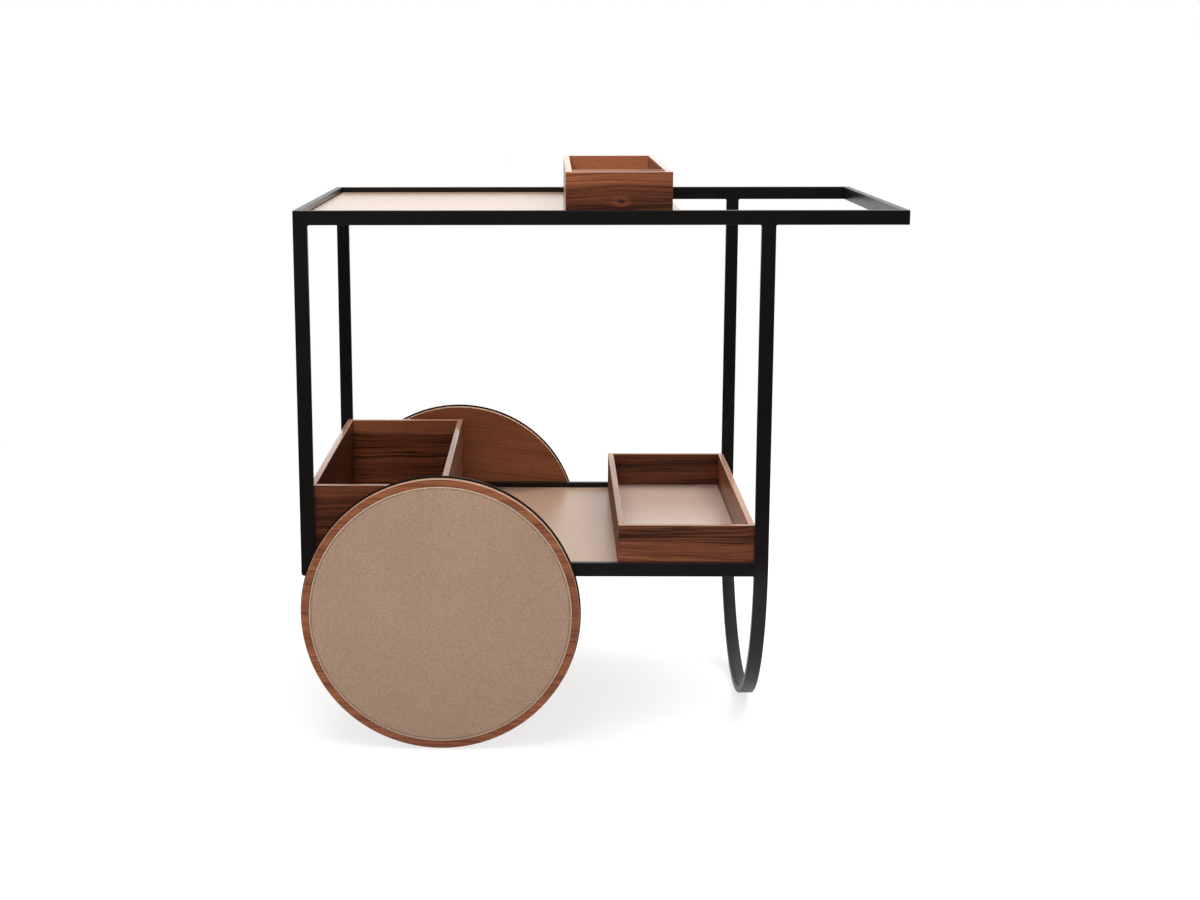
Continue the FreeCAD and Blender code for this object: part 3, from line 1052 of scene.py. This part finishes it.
# The photograph's camera, in metres, in radians, and in the photograph's 1200 by 900 pixels
PHOTO_WIDTH = 1200
FOCAL_PIXELS = 1895.7
CENTRE_PIXEL_X = 524.0
CAMERA_PLACE = (-0.0660, -2.8963, 0.9573)
CAMERA_YAW = -0.01524
CAMERA_PITCH = 0.19694
CAMERA_ROLL = -0.00202
SENSOR_WIDTH = 36.0

# The floor, a hair below what stands on it
FLOOR_REACH = 40.0
FLOOR_DROP = 0.0002


class TROLLEY_OT_stage(bpy.types.Operator):
    """Builds the floor, the pale surroundings, the lamps and the photograph's camera"""

    bl_idname = "trolley.stage"
    bl_label = "Stage"

    def execute(self, context):
        context.scene.view_settings.view_transform = "Standard"
        self.camera(context.scene)
        self.floor(context.scene)
        self.surroundings(context.scene)
        self.lamp("Overhead lamp", place=(0.0, 0.3, 2.4), target=(0, 0, 0.4), size=1.6, power=11)
        self.lamp("Right lamp", place=(1.25, 1.15, 2.2), target=(0.1, 0, 0.3), size=1.7, power=64)
        self.lamp("Back lamp", place=(-0.4, 1.6, 2.1), target=(0, 0, 0.3), size=1.4, power=27)
        self.lamp("Key lamp", place=(-0.4, -0.95, 1.6), target=(-0.15, -0.2, 0.3), size=0.8, power=17.5)
        self.lamp("Front lamp", place=(-0.2, -3.0, 1.9), target=(-0.1, 0, 0.35), size=2.0, power=19)
        return {"FINISHED"}

    def camera(self, scene):
        data = bpy.data.cameras.new("Camera")
        data.sensor_fit = "HORIZONTAL"
        data.sensor_width = SENSOR_WIDTH
        data.lens = SENSOR_WIDTH * FOCAL_PIXELS / PHOTO_WIDTH
        data.shift_x = (PHOTO_WIDTH / 2 - CENTRE_PIXEL_X) / PHOTO_WIDTH
        camera = bpy.data.objects.new("Camera", data)
        scene.collection.objects.link(camera)
        level = Matrix.Rotation(math.pi / 2, 4, "X")
        turn = Matrix.Rotation(-CAMERA_YAW, 4, "Z")
        tip = Matrix.Rotation(-CAMERA_PITCH, 4, "X")
        roll = Matrix.Rotation(CAMERA_ROLL, 4, "Z")
        camera.matrix_world = Matrix.Translation(CAMERA_PLACE) @ turn @ tip @ level @ roll
        scene.camera = camera

    def floor(self, scene):
        mesh = bpy.data.meshes.new("Floor")
        bm = bmesh.new()
        place = Matrix.Translation((0, 0, -FLOOR_DROP))
        bmesh.ops.create_grid(bm, x_segments=1, y_segments=1, size=FLOOR_REACH, matrix=place)
        bm.to_mesh(mesh)
        bm.free()
        mesh.materials.append(self.floor_material())
        floor = bpy.data.objects.new("Floor", mesh)
        scene.collection.objects.link(floor)

    def floor_material(self):
        """A floor that is white to the camera apart from its shadow, and plain white further out.

        To glossy rays it is bright near the object and far behind it, and dim between.
        """
        material, tree, shader, place = new_material("Studio floor")
        tree.nodes.remove(shader)
        spread = length_of(tree, place)
        far = span(tree, spread, 0.8, 2.6)
        strength = span(tree, far, 0.0, 1.0, 0.76, 1.0)
        glow = put(tree, "ShaderNodeEmission", {"Strength": strength}).outputs[0]
        share = span(tree, far, 0.0, 1.0, 0.27, 0.0)
        tint = put(tree, "ShaderNodeCombineColor", {0: share, 1: share, 2: share}).outputs[0]
        shade = put(tree, "ShaderNodeBsdfDiffuse", {"Color": tint}).outputs[0]
        shown = put(tree, "ShaderNodeAddShader", {0: glow, 1: shade}).outputs[0]
        path = put(tree, "ShaderNodeLightPath").outputs
        behind = span(tree, axes_of(tree, place)["Y"], 5.0, 8.0)
        bright = maths(tree, "MAXIMUM", span(tree, spread, 0.6, 1.3, 0.6, 0.0), behind)
        seen = maths(tree, "MAXIMUM", path["Is Camera Ray"], path["Is Transmission Ray"])
        seen = maths(tree, "MAXIMUM", seen, times(tree, path["Is Glossy Ray"], bright))
        lit = put(tree, "ShaderNodeBsdfDiffuse", {"Color": opaque(colours().floor)}).outputs[0]
        dim = mix_shaders(tree, path["Is Glossy Ray"], lit)
        mixed = mix_shaders(tree, seen, dim, shown)
        feed(tree, tree.nodes["Material Output"], {"Surface": mixed})
        return material

    def surroundings(self, scene):
        """A pale room, darker on the camera's side: white to the camera, soft light on the object."""
        world = bpy.data.worlds.new("Studio")
        world.use_nodes = True
        tree = world.node_tree
        plain = opaque((1, 1, 1))
        soft = tree.nodes["Background"]
        feed(tree, soft, {"Color": (1.0, 0.985, 0.97, 1.0), "Strength": 0.36})
        white = put(tree, "ShaderNodeBackground", {"Color": plain, "Strength": 1.0}).outputs[0]
        axes = axes_of(tree, put(tree, "ShaderNodeTexCoord").outputs["Generated"])
        horizon = span(tree, axes["Z"], 0.12, 0.22, 1.0, 0.55)
        behind = times(tree, span(tree, axes["Y"], -0.4, 0.2), horizon)
        bright = maths(tree, "MAXIMUM", behind, span(tree, axes["Z"], 0.3, 0.8))
        strength = span(tree, bright, 0.0, 1.0, 0.12, 1.25)
        mirrored = put(tree, "ShaderNodeBackground", {"Color": plain, "Strength": strength}).outputs[0]
        path = put(tree, "ShaderNodeLightPath").outputs
        seen = maths(tree, "MAXIMUM", path["Is Camera Ray"], path["Is Transmission Ray"])
        unseen = mix_shaders(tree, path["Is Glossy Ray"], soft.outputs[0], mirrored)
        mixed = mix_shaders(tree, seen, unseen, white)
        feed(tree, tree.nodes["World Output"], {"Surface": mixed})
        scene.world = world

    def lamp(self, name, place, target, size, power):
        """A square lamp that faces its target. Its own reflection doesn't show."""
        data = bpy.data.lights.new(name, "AREA")
        data.shape = "SQUARE"
        data.size = size
        data.energy = power
        lamp = bpy.data.objects.new(name, data)
        bpy.context.scene.collection.objects.link(lamp)
        lamp.location = place
        aim = Vector(target) - Vector(place)
        lamp.rotation_euler = aim.to_track_quat("-Z", "Y").to_euler()
        lamp.visible_glossy = False


OPERATORS = (
    TROLLEY_OT_steel_frame,
    TROLLEY_OT_decks,
    TROLLEY_OT_wheels,
    TROLLEY_OT_axle,
    TROLLEY_OT_small_box,
    TROLLEY_OT_bottle_box,
    TROLLEY_OT_tray,
    TROLLEY_OT_stage,
)


class TROLLEY_PT_panel(bpy.types.Panel):
    """Lists the trolley's pieces, sizes and colours"""

    bl_idname = "TROLLEY_PT_panel"
    bl_label = "Serving trolley"
    bl_space_type = "VIEW_3D"
    bl_region_type = "UI"
    bl_category = "Trolley"

    def draw(self, context):
        for operator in OPERATORS:
            self.layout.operator(operator.bl_idname)
        for group in (context.scene.trolley_sizes, context.scene.trolley_colours):
            box = self.layout.box()
            for key in group.__annotations__:
                box.prop(group, key)


CLASSES = (TrolleySizes, TrolleyColours, *OPERATORS, TROLLEY_PT_panel)


def register():
    for item in CLASSES:
        bpy.utils.register_class(item)
    bpy.types.Scene.trolley_sizes = PointerProperty(type=TrolleySizes)
    bpy.types.Scene.trolley_colours = PointerProperty(type=TrolleyColours)


def unregister():
    del bpy.types.Scene.trolley_colours
    del bpy.types.Scene.trolley_sizes
    for item in reversed(CLASSES):
        bpy.utils.unregister_class(item)


def main():
    register()
    bpy.ops.trolley.steel_frame()
    bpy.ops.trolley.decks()
    bpy.ops.trolley.wheels()
    bpy.ops.trolley.axle()
    bpy.ops.trolley.small_box()
    bpy.ops.trolley.bottle_box()
    bpy.ops.trolley.tray()
    bpy.ops.trolley.stage()


if __name__ == "__main__":
    main()
